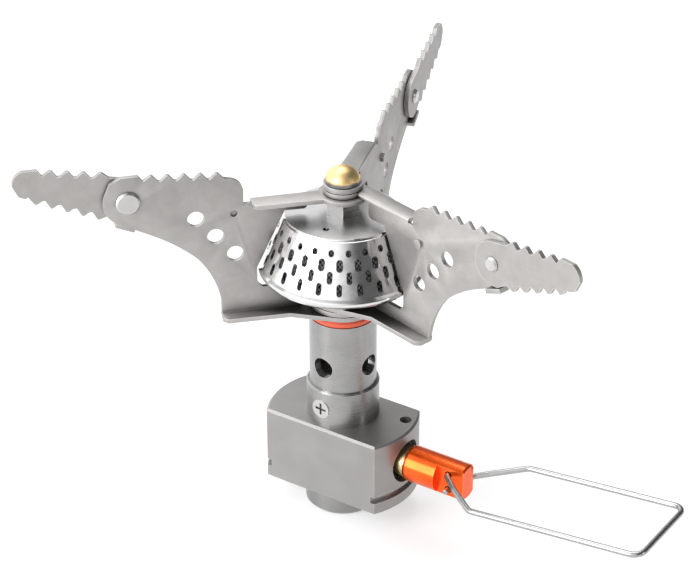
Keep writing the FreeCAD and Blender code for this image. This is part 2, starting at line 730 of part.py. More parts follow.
def make_cap():
    wall = d.cap_wall
    foot = CAP_FLOOR + d.cap_rim_height
    body = turned("cap_shell", [
        (d.stud_radius, CAP_TOP - wall),
        (d.cap_top_radius - d.cap_lip - wall / 3, CAP_TOP - wall),
        (d.base_radius - wall, foot),
        (d.base_radius, CAP_FLOOR + d.base_lip),
        (d.base_radius, CAP_FLOOR - d.cap_hem),
        (d.cap_radius - 2 * d.cap_hem, CAP_FLOOR - d.cap_hem),
        (d.cap_radius, CAP_FLOOR + 1.5 * d.cap_hem, 0.5 * d.cap_rim_height, -1),
        (d.cap_radius, foot - 2 * d.cap_hem),
        (d.cap_radius - d.cap_groove, foot),
        (d.cap_top_radius, CAP_TOP - d.cap_lip, d.cap_lip * 1.05, 1),
        (d.cap_top_radius - d.cap_lip, CAP_TOP),
        (d.stud_radius, CAP_TOP)])
    rows = (
        (d.port_drop, d.port_tall_first, d.port_half, 0.0),
        (d.port_drop + d.port_pitch, d.port_tall, d.port_half_large, 0.5),
        (d.port_drop + 2 * d.port_pitch, d.port_tall, d.port_half, 0.0),
        (d.port_drop + 3 * d.port_pitch, d.port_tall, d.port_half, 0.5))
    pitch = 360.0 / d.port_count.number
    for index, (drop, tall, half, shift) in enumerate(rows):
        sketch = new_sketch(body, "port_row_%d" % index, "YZ_Plane")
        phase = d.port_phase.number + shift * pitch
        sketch.AttachmentOffset = FreeCAD.Placement(V(0, 0, 0), FreeCAD.Rotation(Y_AXIS, phase))
        middle = CAP_TOP - drop
        straight = tall - half
        draw_outline(sketch, [
            (half, middle - straight), (half, middle + straight, half * 1.001, -1),
            (-half, middle + straight), (-half, middle - straight, half * 1.001, -1)])
        row = pocket(body, sketch, d.cap_radius, reverse=True)
        pattern = body.newObject("PartDesign::PolarPattern", "ports_%d" % index)
        pattern.Originals = [row]
        pattern.Axis = (plane_of(body, "Z_Axis"), [""])
        pattern.Angle = 360
        bind(pattern, "Occurrences", d.port_count)
        body.Tip = pattern
    facing = (cosine(d.dimple_azimuth), sine(d.dimple_azimuth))
    hole = cylinder("pilot_hole", d.dimple_radius, 2 * wall,
                    (d.dimple_offset * facing[0], d.dimple_offset * facing[1], CAP_TOP - 1.5 * wall))
    kept(cut("cap_drilled", body, [hole]), "burner_cap")


def make_spreader():
    """The fine screen that stands inside the perforated cap."""
    lip = CAP_FLOOR + d.base_lip
    foot = lip + 2 * d.spreader_foot
    top = CAP_TOP - d.cap_wall - d.spreader_gap
    outer = d.base_radius - d.cap_wall - d.spreader_gap
    upper = d.cap_top_radius - d.cap_wall - d.spreader_gap
    ledge = d.base_radius - d.cap_wall / 2
    kept(turned("flame_screen", [
        (outer - d.spreader_wall, foot),
        (outer - d.spreader_wall, lip),
        (ledge, lip),
        (ledge, lip + d.spreader_foot),
        (outer, lip + d.spreader_foot),
        (outer, foot),
        (upper, top),
        (upper - d.spreader_wall, top)]), "flame_screen")


def make_post():
    """The hexagonal post, its stud down to the bridge and the pivot for the upper hubs."""
    floor = BASE_FLOOR - d.bridge_drop - d.bridge_thick
    post = hexagon("post_hex", d.post_flats, d.post_height, CAP_TOP, d.post_turn.number)
    stud = cylinder("post_stud", d.stud_radius, CAP_TOP - floor, (0, 0, floor))
    pivot = cylinder("post_pivot", d.pivot_radius, STACK_TOP - POST_TOP, (0, 0, POST_TOP))
    bore = cylinder("post_bore", d.screw_bore, d.screw_depth, (0, 0, STACK_TOP - d.screw_depth))
    solid = fuse("post_solid", [post, stud, pivot])
    kept(cut("hex_post", solid, [bore]), "hex_post")


def make_top_fittings():
    kept(turned("top_washer", [
        (d.screw_bore, STACK_TOP),
        (d.top_washer_radius, STACK_TOP),
        (d.top_washer_radius, DOME_FLOOR),
        (d.screw_bore, DOME_FLOOR)]), "top_washer")
    crown = d.dome_height - d.dome_edge
    sphere = (d.dome_radius * d.dome_radius + crown * crown) / (2 * crown)
    kept(turned("dome_screw", [
        (0, STACK_TOP - d.screw_depth + d.layer_gap),
        (d.screw_bore, STACK_TOP - d.screw_depth + d.layer_gap),
        (d.screw_bore, DOME_FLOOR),
        (d.dome_radius, DOME_FLOOR),
        (d.dome_radius, DOME_FLOOR + d.dome_edge, sphere, -1),
        (0, DOME_FLOOR + d.dome_height)]), "dome_screw")


# ---------------------------------------------------------------- pot supports

def polar(origin, distance, angle):
    return (origin[0] + distance * cosine(angle), origin[1] + distance * sine(angle))


def tooth_points(start, height, pitch, rise, count, tip, root, depth):
    """The corners of a row of teeth, from the first flank to the last."""
    points = []
    for index in range(int(count.number)):
        across = start + index * pitch
        level = height + index * rise
        points.append((across - tip, level))
        points.append((across + tip, level))
        if index < int(count.number) - 1:
            middle = across + pitch / 2
            valley = level + rise / 2 - depth
            points.append((middle - root, valley))
            points.append((middle + root, valley))
    return points


def plate_outline(floor, ceiling):
    """The C-shaped plate, from its inner lower corner and clockwise seen from its front.

    It starts at the lower flange, follows the burner wall up to the upper flange, runs along
    the shoulder and the teeth to the rounded end, and comes back along the hollow lower edge.
    """
    rivet = (d.rivet_reach, above_base.rivet_height)
    corner = d.branch_corner
    edge = CAP_FLOOR + d.cap_rim_height
    last = d.tooth_start + (d.tooth_count - 1) * d.tooth_pitch
    top = above_base.tooth_height + d.tooth_count * d.tooth_rise
    hook = polar(rivet, d.end_radius, d.end_top_angle)
    under = polar(rivet, d.end_radius, -d.end_under_angle)
    points = [
        (d.branch_start, floor),
        (d.branch_start, above_base.branch_low),
        (d.branch_inner, above_base.branch_height),
        (d.cap_radius - d.rim_margin, above_base.branch_height, d.branch_rise, -1),
        (d.cap_radius + d.rim_gap, above_base.cut_low),
        (d.cap_radius + d.rim_gap, edge),
        (cap_wall_radius(above_base.cut_high) + d.rim_gap, above_base.cut_high),
        (d.top_branch_start + corner, above_base.cut_high, corner, 1),
        (d.top_branch_start, above_base.cut_high + corner),
        (d.top_branch_start, ceiling),
        (d.shoulder_reach, ceiling),
        (d.shoulder_reach, above_base.shoulder_height, d.shoulder_radius, 1),
        (d.shoulder_reach + d.shoulder_run, above_base.tooth_height - d.tooth_depth - d.tooth_root),
        (d.tooth_start - d.tooth_pitch / 2 + d.tooth_root, above_base.tooth_height - d.tooth_depth)]
    points += tooth_points(d.tooth_start, above_base.tooth_height, d.tooth_pitch, d.tooth_rise,
                           d.tooth_count, d.tooth_tip, d.tooth_root, d.tooth_depth)
    points += [
        (last + d.tooth_pitch / 2, top - d.tooth_depth),
        (last + d.tooth_pitch * d.bump_share, top),
        (d.rivet_reach + d.end_flat_run, top),
        (hook[0] - d.end_flat_run, top - d.end_flat_drop),
        (hook[0], hook[1], d.end_radius, 1),
        (under[0], under[1]),
        (d.elbow_reach, above_base.elbow_height, d.upper_radius, -1),
        (d.waist_reach, above_base.waist_height, d.lower_radius, -1),
        (d.foot_reach, above_base.foot_height),
        (d.foot_reach, floor)]
    return points


def draw_flange(sketch, bore, ring_radius, reach, near, far, flared):
    """A ring round the stem axis with a straight strip outwards, and its bore.

    near is the plate's outer face, where the fold is, and far is the strip's free edge. A
    flared strip widens from its free edge into the ring.
    """
    side = 1 if far.number > near.number else -1
    corner = d.flange_corner
    strip = [
        (root_reach(ring_radius, near), near), (reach, near),
        (reach, far - side * corner), (reach - corner, far)]
    if flared:
        strip += [(d.flare_reach, far),
                  (ring_radius * cosine(d.flare_turn), side * ring_radius * sine(d.flare_turn))]
    else:
        strip += [(root_reach(ring_radius, far), far)]
    if side < 0:
        strip = strip[::-1]
    height = ring_radius * 0.75 ** 0.5
    ring = [(-ring_radius * 0.5, height, ring_radius, -1),
            (-ring_radius * 0.5, -height, ring_radius, -1)]
    draw_outline(sketch, strip[:-1] + [strip[-1] + (ring_radius, -1)] + ring)
    draw_circle(sketch, 0, 0, bore + d.hub_clearance)


def root_reach(radius, offset):
    """How far out a line at an offset from the axis meets a ring of a given radius."""
    number = math.sqrt(radius.number ** 2 - offset.number ** 2)
    return Size(number, "sqrt(%s ^ 2 - %s ^ 2)" % (radius.text, offset.text))


def plate_body(name, placement, layer, top_layer, side, top_side):
    """One pot support: the plate, its two flanges with hub rings, and its holes."""
    body = new_body(name + "_plate_blank", placement)
    floor = HUB_FLOOR + layer * LAYER
    ceiling = TOP_HUB_FLOOR + top_layer * LAYER
    front = -d.arm_offset if side > 0 else d.arm_offset + d.sheet
    sketch = new_sketch(body, name + "_plate_outline", "XZ_Plane", -front)
    draw_outline(sketch, plate_outline(floor, ceiling))
    pad(body, sketch, d.sheet)
    near = -side * (d.arm_offset + d.sheet)
    top_near = near if top_side == side else -side * d.arm_offset
    top_width = d.flange_width if top_side == side else d.turned_flange_width
    top_ring = d.top_hub_radius if top_layer else d.lowest_top_hub_radius
    for label, level, bore, ring, reach, fold, edge, flared in (
            ("lower", floor, d.tube_bore, d.hub_radius, d.flange_reach,
             near, near + side * d.flange_width, True),
            ("upper", ceiling, d.pivot_radius, top_ring, d.top_flange_reach,
             top_near, top_near + top_side * top_width, False)):
        flange = new_sketch(body, "%s_%s_flange" % (name, label), "XY_Plane", level)
        draw_flange(flange, bore, ring, reach, fold, edge, flared)
        pad(body, flange, d.sheet)
    holes = new_sketch(body, name + "_holes", "XZ_Plane", -front)
    for index in range(3):
        draw_circle(holes, d.hole_reach - index * d.hole_step_in,
                    above_base.hole_height - index * d.hole_step_down, d.hole_half)
    draw_circle(holes, d.rivet_reach, above_base.rivet_height, d.rivet_radius)
    pocket(body, holes, d.sheet, reverse=True)
    return body, front


def make_plate(name, placement, layer, top_layer, side, top_side):
    """The plate with its peg, the peg's recess and the stop tab."""
    body, front = plate_body(name, placement, layer, top_layer, side, top_side)
    back = front - d.sheet
    peg_sketch = new_sketch(body, name + "_peg", "XZ_Plane", -back)
    draw_circle(peg_sketch, d.peg_reach, above_base.peg_height, d.peg_radius)
    pad(body, peg_sketch, d.peg_proud)
    recess = new_sketch(body, name + "_recess", "XZ_Plane", -front)
    draw_circle(recess, d.peg_reach, above_base.peg_height, d.recess_radius)
    pocket(body, recess, d.peg_recess, reverse=True)
    rivet = (d.rivet_reach, above_base.rivet_height)
    slope = d.stop_slope
    foot = polar(rivet, d.stop_distance, slope - 90)
    below = polar(rivet, d.stop_distance + d.sheet, slope - 90)
    stop = new_sketch(body, name + "_stop", "XZ_Plane", -front)
    draw_outline(stop, [
        polar(foot, -d.stop_back, slope), polar(foot, d.stop_front, slope),
        polar(below, d.stop_front, slope), polar(below, -d.stop_back, slope)])
    pad(body, stop, d.sheet + d.stop_depth)
    kept(body, name + "_plate")
    return front


def leaf_outline():
    """The folding extension: a round end about its rivet, then a toothed tapering blade."""
    rivet = (d.rivet_reach, above_base.rivet_height)
    slope = d.stop_slope
    line = d.stop_distance - d.heel_gap
    heel = polar(polar(rivet, line, slope - 90), -d.heel_back, slope)
    start = polar(rivet, d.leaf_end_radius, d.leaf_end_start)
    back = polar(rivet, d.leaf_end_radius, Size(180))
    bottom = polar(rivet, d.leaf_end_radius, d.leaf_end_finish)
    low_last = d.leaf_low_start + (d.leaf_low_count - 1) * d.leaf_low_pitch
    low_end = above_base.leaf_low_height + (d.leaf_low_count - 1) * d.leaf_low_rise
    lower = [(bottom[0], bottom[1]), (heel[0], heel[1])]
    lower += [(d.leaf_low_start - d.leaf_throat, above_base.leaf_low_height + d.leaf_throat_rise)]
    lower += tooth_points(d.leaf_low_start, above_base.leaf_low_height, d.leaf_low_pitch, d.leaf_low_rise,
                          d.leaf_low_count, d.tooth_tip, d.tooth_root, -d.tooth_depth)
    lower += [(low_last + d.leaf_low_pitch / 2, low_end + d.leaf_low_rise / 2 + d.tooth_depth)]
    tip = [
        (d.leaf_corner - d.leaf_corner_run, above_base.leaf_corner_height - d.leaf_corner_drop),
        (d.leaf_corner, above_base.leaf_corner_height),
        (d.leaf_tip, above_base.leaf_tip_height, d.leaf_tip_radius, -1),
        (d.leaf_top_end, above_base.leaf_top_height)]
    teeth = tooth_points(d.leaf_tooth_start, above_base.leaf_tooth_height, d.tooth_pitch,
                         d.leaf_tooth_rise, d.leaf_tooth_count, d.tooth_tip, d.tooth_root,
                         d.tooth_depth)
    last = d.leaf_tooth_start + (d.leaf_tooth_count - 1) * d.tooth_pitch
    high = above_base.leaf_tooth_height + (d.leaf_tooth_count - 1) * d.leaf_tooth_rise
    upper = [(last + d.tooth_pitch * d.bump_share, above_base.leaf_top_height),
             (last + d.tooth_pitch / 2, high + d.leaf_tooth_rise / 2 - d.tooth_depth)]
    upper += teeth[::-1]
    upper += [(d.leaf_tooth_start - d.tooth_pitch / 2, above_base.leaf_tooth_height - d.tooth_depth),
              (d.rivet_reach + d.leaf_neck, above_base.leaf_neck_height)]
    return lower + tip + upper + [
        (start[0], start[1], d.leaf_end_radius, -1), (back[0], back[1], d.leaf_end_radius, -1)]


def make_leaf(name, placement, front):
    body = new_body(name + "_extension_blank", placement)
    near = front - d.sheet - d.leaf_gap
    sketch = new_sketch(body, name + "_extension_outline", "XZ_Plane", -near)
    draw_outline(sketch, leaf_outline())
    pad(body, sketch, d.sheet)
    hole = new_sketch(body, name + "_extension_hole", "XZ_Plane", -near)
    draw_circle(hole, d.rivet_reach, above_base.rivet_height, d.rivet_radius + d.rivet_clearance)
    pocket(body, hole, d.sheet, reverse=True)
    kept(body, name + "_extension")


def make_rivet(name, placement, front):
    """A rivet with its flat head on the plate's front and its tail past the extension."""
    along = FreeCAD.Placement(V(0, 0, 0), FreeCAD.Rotation(X_AXIS, 90))
    body = turned(name + "_rivet_blank", rivet_outline(front))
    place = V(d.rivet_reach.number, 0, above_base.rivet_height.number)
    shift = FreeCAD.Placement(place, FreeCAD.Rotation())
    body.Placement = placement * shift * along
    kept(body, name + "_rivet")


def rivet_outline(front):
    """Heights run along the plate's clockwise normal, from the stem's own upright plane."""
    face = -front
    head = d.rivet_head_thick
    under = face + 2 * d.sheet + d.leaf_gap + d.rivet_clearance
    tail = under + d.rivet_tail_proud
    return [
        (0, face - head),
        (d.rivet_head - d.rivet_edge, face - head),
        (d.rivet_head, face - head + d.rivet_edge),
        (d.rivet_head, face),
        (d.rivet_radius, face),
        (d.rivet_radius, under),
        (d.rivet_tail, under),
        (d.rivet_tail, under + d.leaf_gap),
        (d.rivet_tail - d.rivet_edge, tail),
        (0, tail)]


def make_arm(name, azimuth, layer, top_layer, side, top_side):
    """One pot support at its azimuth, with its extension and rivet.

    side is 1 where the lower flange points to the plate's anticlockwise side, and -1 where it
    points to the clockwise side; top_side is the same for the upper flange. The extension is
    on the clockwise side of every plate.
    """
    placement = FreeCAD.Placement(V(0, 0, 0), FreeCAD.Rotation(Z_AXIS, azimuth))
    front = make_plate(name, placement, layer, top_layer, side, top_side)
    make_leaf(name, placement, front)
    make_rivet(name, placement, front)


def make_arms():
    start = d.arm_azimuth.number
    make_arm("back_arm", start, 1, 2, 1, 1)
    make_arm("left_arm", start + d.left_arm_turn.number, 0, 0, 1, 1)
    make_arm("right_arm", start + d.right_arm_turn.number, 2, 1, -1, 1)


# ---------------------------------------------------------------- build, check and export

def check_document():
    """Stops with a message if any object or kept shape is not sound."""
    faults = []
    for thing in DOC.Objects:
        if "Invalid" in thing.State or "Error" in thing.State:
            faults.append("%s: %s" % (thing.Name, thing.State))
    for thing in NODES:
        if thing.Shape.isNull() or not thing.Shape.isValid() or thing.Shape.Volume <= 0:
            faults.append("%s: shape is not sound" % thing.Label)
    if faults:
        raise RuntimeError("; ".join(faults))


def export_nodes():
    os.makedirs("parts", exist_ok=True)
    for thing in NODES:
        thing.Shape.exportStep("parts/%s.step" % thing.Label)
        print("%-20s %9.2f mm3, %d solid" % (thing.Label, thing.Shape.Volume, len(thing.Shape.Solids)))


make_connector()
make_block()
make_block_fittings()
make_gland()
make_spindle()
make_knob()
make_handle()
make_tube()
make_collar_screw()
make_hub_washer()
make_base()
make_cap()
make_spreader()
make_post()
make_top_fittings()
make_arms()
DOC.recompute()
check_document()
export_nodes()
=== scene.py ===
"""Looks of a canister-top camping stove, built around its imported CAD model. Metres throughout."""
import json
import math
import bmesh
import bpy
from mathutils import Matrix, Vector


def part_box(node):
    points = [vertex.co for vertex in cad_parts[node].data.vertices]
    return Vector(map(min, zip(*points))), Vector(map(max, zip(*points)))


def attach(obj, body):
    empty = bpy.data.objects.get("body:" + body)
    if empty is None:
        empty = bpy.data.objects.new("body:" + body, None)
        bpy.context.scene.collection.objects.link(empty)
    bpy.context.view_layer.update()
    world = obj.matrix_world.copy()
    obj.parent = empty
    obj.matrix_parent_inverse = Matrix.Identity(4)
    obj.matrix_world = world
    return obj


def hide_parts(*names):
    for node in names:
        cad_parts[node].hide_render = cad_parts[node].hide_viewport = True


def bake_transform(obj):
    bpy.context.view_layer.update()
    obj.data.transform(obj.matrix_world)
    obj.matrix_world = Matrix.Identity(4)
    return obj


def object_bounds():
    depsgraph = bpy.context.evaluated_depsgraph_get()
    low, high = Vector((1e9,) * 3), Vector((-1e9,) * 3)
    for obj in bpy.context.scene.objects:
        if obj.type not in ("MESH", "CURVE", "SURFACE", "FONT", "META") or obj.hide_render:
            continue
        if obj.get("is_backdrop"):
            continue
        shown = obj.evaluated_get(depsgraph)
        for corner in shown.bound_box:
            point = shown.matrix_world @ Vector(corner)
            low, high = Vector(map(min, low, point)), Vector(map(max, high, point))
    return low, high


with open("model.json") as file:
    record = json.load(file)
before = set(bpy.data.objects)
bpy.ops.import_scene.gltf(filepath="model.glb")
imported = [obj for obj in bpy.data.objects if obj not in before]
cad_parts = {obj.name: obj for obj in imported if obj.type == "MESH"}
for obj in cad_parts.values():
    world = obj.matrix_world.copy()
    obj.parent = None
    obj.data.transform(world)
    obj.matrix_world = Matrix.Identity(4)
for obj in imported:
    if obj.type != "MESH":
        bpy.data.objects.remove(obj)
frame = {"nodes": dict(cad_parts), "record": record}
SIZES = {"cad": [list(corner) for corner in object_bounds()]}
NODES = frame["nodes"]
ARMS = {"back": 106.0, "left": 225.0, "right": 345.0}
MM = 0.001
NOISE_LOW = 0.3
NOISE_HIGH = 0.7

# The wire handle, about the line that it turns on.
HANDLE_PIVOT = (0.0284, 0.0, 0.0152)
WIRE = 0.00065
TILT = math.radians(6.0)
TONGUE = 0.00215
SPREAD = 0.0019
LEG_ROOT = 0.00325
LEG_TIP = 0.00355
NEAR_BEND = 0.010
FAR_BEND = 0.013
LOOP_BEND = 0.0025
LOOP_CORNER = 0.0024
ELBOW_BEND = 0.0011
ELBOW_SHARE = 0.42
ELBOW_OVERLAP = 0.03
HOLE_RUN = 0.0006
ELBOW_STEP = 0.0002
LOOP_STEP = 0.002
END_ROUNDING = 0.35 * WIRE

# The pot supports' plates: rounding of the folds' outsides and insides, and of the cut edges.
FOLD_OUTSIDE = 0.00105
FOLD_INSIDE = 0.0004
CUT_EDGE = 0.00012
FOLD_STEPS = 5
EDGE_STEPS = 2
FOLD_ANGLE = 60
EDGE_ANGLE = 50
FOLD_SHORTEST = 0.008
FOLD_NEAREST = 0.0016
LEVEL = 1e-5

# The wire cloth's middle radius in millimetres.
SCREEN_RADIUS = 15.0

# The camera's turn and rise in degrees, and its other measures in metres and millimetres of lens.
CAMERA_AZIMUTH = 303.286
CAMERA_RISE = 30.09
CAMERA_DISTANCE = 0.5302
CAMERA_SIDE = 0.0015
CAMERA_AIM = 0.0526
CAMERA_LENS = 127.8
CAMERA_SENSOR = 36.0
CAMERA_NEAR = 0.01

# The floor: half its width, its drop under the object, and how much it glows.
FLOOR_HALF = 6.0
FLOOR_DROP = 0.00005
FLOOR_GLOW = 0.5

# The room's brightness at the photographed side's left and right, overhead and behind.
ROOM_LEFT = 1.55
ROOM_RIGHT = 0.13
ROOM_OVERHEAD = 0.7
ROOM_BEHIND = 1.1
ROOM_COLOUR = (0.985, 0.99, 1.0, 1.0)

# Soft boxes: place and aim as right, away and up, size across and along, and power in watts.
SOFT_BOXES = {
    "key_box": ((-0.78, -0.5, 0.42), (0, 0, 0.05), (0.45, 0.8), 6.0),
    "top_box": ((-0.12, 0.42, 0.95), (0, 0, 0.03), (0.8, 0.6), 4.5),
    "edge_box": ((0.8, -0.45, 0.3), (0, 0, 0.05), (0.08, 0.5), 0.9),
}


# ---------------------------------------------------------------- material helpers

class Graph:
    """A new material with its node tree and short ways to add and join nodes."""

    def __init__(self, name):
        self.material = bpy.data.materials.new(name)
        self.material.use_nodes = True
        self.tree = self.material.node_tree
        self.shader = self.tree.nodes["Principled BSDF"]

    def add(self, kind, inputs=(), **settings):
        """A new node with its settings, and its inputs joined or set to values."""
        node = self.tree.nodes.new(kind)
        for key, value in settings.items():
            setattr(node, key, value)
        for socket, value in dict(inputs).items():
            if isinstance(value, bpy.types.NodeSocket):
                self.tree.links.new(value, node.inputs[socket])
            else:
                node.inputs[socket].default_value = value
        return node

    def place(self, scale):
        """Object coordinates in millimetres, stretched."""
        coordinates = self.add("ShaderNodeTexCoord").outputs["Object"]
        stretched = tuple(factor / MM for factor in scale)
        return self.add("ShaderNodeMapping", {
            "Vector": coordinates, "Scale": stretched}).outputs["Vector"]

    def noise(self, scale, detail=3.0, stretch=(1, 1, 1), rough=0.55):
        """Noise with a scale per millimetre, drawn out along an axis where stretch is small."""
        return self.add("ShaderNodeTexNoise", {
            "Vector": self.place(stretch), "Scale": scale, "Detail": detail,
            "Roughness": rough}).outputs["Fac"]

    def remap(self, value, low, high, start, end):
        """A value's range from low to high turned into start to end, and held there."""
        return self.add("ShaderNodeMapRange", {
            "Value": value, "From Min": low, "From Max": high,
            "To Min": start, "To Max": end}).outputs["Result"]

    def spread(self, noise, start, end):
        """A noise's usual range, NOISE_LOW to NOISE_HIGH, stretched over new values."""
        return self.remap(noise, NOISE_LOW, NOISE_HIGH, start, end)

    def math(self, operation, first, second=0.0):
        return self.add("ShaderNodeMath", {0: first, 1: second}, operation=operation).outputs[0]

    def mix(self, factor, first, second):
        """A blend of two colours, which a Mix node takes at inputs 6 and 7, output 2."""
        node = self.add("ShaderNodeMix", {0: factor, 6: first, 7: second}, data_type="RGBA")
        return node.outputs[2]

    def bump(self, height, strength, distance):
        """Bump with a distance in millimetres."""
        return self.add("ShaderNodeBump", {
            "Height": height, "Strength": strength, "Distance": distance * MM}).outputs["Normal"]

    def faced_rings(self, pitch):
        """Rings round the valve's own axis, as a lathe leaves on an end face."""
        centre = self.add("ShaderNodeMapping", {
            "Vector": self.add("ShaderNodeTexCoord").outputs["Object"],
            "Location": (0.0, 0.0, -HANDLE_PIVOT[2] / MM), "Scale": (0.0, 1 / MM, 1 / MM)})
        radius = self.add("ShaderNodeVectorMath", {0: centre.outputs["Vector"]}, operation="LENGTH")
        turns = self.math("MULTIPLY", radius.outputs["Value"], 2 * math.pi / pitch)
        return self.math("SINE", turns)

    def weave(self, pitch):
        """Wires of a cloth wrapped round the stem axis: 1 on a wire's crown and 0 in a hole."""
        place = self.add("ShaderNodeSeparateXYZ", {
            "Vector": self.add("ShaderNodeTexCoord").outputs["Object"]}).outputs
        turn = self.math("ARCTAN2", place["Y"], place["X"])
        count = round(2 * math.pi * SCREEN_RADIUS / pitch)
        across = self.math("SINE", self.math("MULTIPLY", turn, count))
        rise = self.math("SINE", self.math("MULTIPLY", place["Z"], 2 * math.pi / pitch / MM))
        hole, crown = -0.4, 0.8
        return self.remap(self.math("MULTIPLY", across, rise), hole, crown, 0.0, 1.0)

    def edges(self, width):
        """1 along edges and 0 on faces, from rounded normals against the face's own."""
        rounded = self.add("ShaderNodeBevel", {"Radius": width * MM}, samples=6).outputs["Normal"]
        flat = self.add("ShaderNodeNewGeometry").outputs["Normal"]
        dot = self.add("ShaderNodeVectorMath", {0: rounded, 1: flat}, operation="DOT_PRODUCT")
        full_turn = 0.75
        return self.remap(dot.outputs["Value"], 1.0, full_turn, 0.0, 1.0)

    def painted_shade_mask(self, reach, low, high):
        """1 deep between close surfaces and 0 in the open: the mask for painted shade in folds and
        recesses.
        """
        open_share = self.add("ShaderNodeAmbientOcclusion", {"Distance": reach * MM},
                              samples=8).outputs["AO"]
        return self.remap(open_share, low, high, 0.0, 1.0)

    def link(self, output, socket):
        """Joins a node's output to the shader."""
        self.tree.links.new(output, self.shader.inputs[socket])

    def finish(self, **fixed):
        """Sets the numbers that are the same all over, and gives the material."""
        for socket, value in fixed.items():
            self.shader.inputs[socket.replace("_", " ")].default_value = value
        return self.material


def grey(value, tint=0.0):
    """A grey as linear RGBA, a little warmer for a positive tint."""
    return (value * (1 + tint), value, value * (1 - tint), 1.0)


def dress(material, node):
    """Gives every material slot of a CAD node one material."""
    slots = NODES[node].data.materials
    for index in range(len(slots)):
        slots[index] = material


# ---------------------------------------------------------------- materials

def titanium_sheet():
    """Matt rolled titanium: a fine cloudy grain, faint rolling lines, painted highlights along the
    edges and painted shade in the folds and between close parts.
    """
    g = Graph("titanium_sheet")
    cloud = g.noise(0.35, 4.0)
    grain = g.noise(9.0, 2.0)
    lines = g.noise(3.0, 3.0, (0.35, 0.35, 6.0))
    tone = g.remap(g.math("ADD", cloud, g.math("MULTIPLY", lines, 0.35)), 0.45, 0.95, 0.0, 1.0)
    colour = g.mix(tone, grey(0.36, 0.035), grey(0.425, 0.03))
    # Painted highlight: a pale grey along the edges, where rounded edges catch the light.
    colour = g.mix(g.math("MULTIPLY", g.edges(0.24), 0.85), colour, grey(0.85, 0.01))
    # Painted shade: near-black in the folds and between close parts, from the ambient-occlusion
    # mask.
    colour = g.mix(g.painted_shade_mask(14.0, 0.66, 0.26), colour, grey(0.04, 0.03))
    g.link(colour, "Base Color")
    g.link(g.spread(grain, 0.44, 0.6), "Roughness")
    height = g.math("ADD", g.math("MULTIPLY", grain, 0.6), g.math("MULTIPLY", lines, 0.4))
    g.link(g.bump(height, 0.25, 0.02), "Normal")
    return g.finish(Metallic=0.85)


def anodised_block():
    """Grey satin anodising over fine milling lines, with a lighter grey along its edges and
    chamfers.
    """
    g = Graph("anodised_block")
    lines = g.noise(2.2, 4.0, (0.12, 0.12, 9.0))
    speck = g.noise(14.0, 2.0)
    cloud = g.noise(0.12, 2.0)
    colour = g.mix(g.spread(cloud, 0.0, 1.0), grey(0.29, 0.03), grey(0.325, 0.025))
    colour = g.mix(g.math("MULTIPLY", g.edges(0.22), 0.7), colour, grey(0.8))
    g.link(colour, "Base Color")
    g.link(g.spread(speck, 0.34, 0.46), "Roughness")
    height = g.math("ADD", g.math("MULTIPLY", lines, 0.7), g.math("MULTIPLY", speck, 0.5))
    g.link(g.bump(height, 0.18, 0.015), "Normal")
    return g.finish(Metallic=0.8)


def turned_alloy(name, tone, rough, rings=9.0, tint=0.012, drawn=0.7):
    """Lathe-turned aluminium: fine level rings round the stem and bright edges."""
    g = Graph(name)
    lines = g.noise(2.5, 3.0, (0.05, 0.05, rings))
    cloud = g.noise(0.25, 3.0)
    colour = g.mix(g.spread(cloud, 0.0, 1.0),
                   grey(tone * 0.93, tint), grey(tone * 1.05, tint))
    colour = g.mix(g.math("MULTIPLY", g.edges(0.16), 0.7), colour, grey(0.88))
    g.link(colour, "Base Color")
    g.link(g.spread(lines, rough - 0.05, rough + 0.06), "Roughness")
    g.link(g.bump(lines, 0.3, 0.012), "Normal")
    round_stem = g.add("ShaderNodeTangent", direction_type="RADIAL", axis="Z")
    g.link(round_stem.outputs["Tangent"], "Tangent")
    return g.finish(Metallic=0.95, Anisotropic=drawn, Anisotropic_Rotation=0.25)


def polished_steel(name, tone=0.74, rough=0.1, grain=0.25, flat_rough=0.0):
    """Pressed and polished stainless steel, with faint draw marks and tiny waves.

    flat_rough is added on faces that point up, which the press leaves satin.
    """
    g = Graph(name)
    wave = g.noise(0.5, 2.0)
    scratch = g.noise(6.0, 3.0, (1.0, 1.0, 0.25))
    colour = g.mix(g.spread(wave, 0.0, 1.0),
                   grey(tone * 0.95, 0.01), grey(tone * 1.04, 0.005))
    g.link(colour, "Base Color")
    facing = g.add("ShaderNodeSeparateXYZ", {
        "Vector": g.add("ShaderNodeNewGeometry").outputs["True Normal"]}).outputs["Z"]
    satin = g.remap(facing, 0.8, 0.98, 0.0, flat_rough)
    polish = g.remap(scratch, 0.35, 0.7, rough * 0.75, rough * 1.6)
    g.link(g.math("ADD", polish, satin), "Roughness")
    g.link(g.bump(g.math("ADD", wave, g.math("MULTIPLY", scratch, 0.06)), grain, 0.02), "Normal")
    return g.finish(Metallic=1.0)


def brass(name, tone=(0.92, 0.76, 0.42, 1.0), rough=0.16):
    """Machined brass with slight tarnish in cloudy patches."""
    g = Graph(name)
    cloud = g.noise(0.9, 4.0)
    rings = g.noise(5.0, 2.0, (1.0, 1.0, 2.0))
    dark = (tone[0] * 0.72, tone[1] * 0.62, tone[2] * 0.5, 1.0)
    colour = g.mix(g.remap(cloud, 0.35, 0.75, 0.0, 0.6), tone, dark)
    colour = g.mix(g.math("MULTIPLY", g.edges(0.12), 0.5), colour, (1.0, 0.86, 0.6, 1.0))
    g.link(colour, "Base Color")
    g.link(g.remap(cloud, 0.3, 0.8, rough, rough + 0.18), "Roughness")
    g.link(g.bump(rings, 0.12, 0.01), "Normal")
    return g.finish(Metallic=1.0)


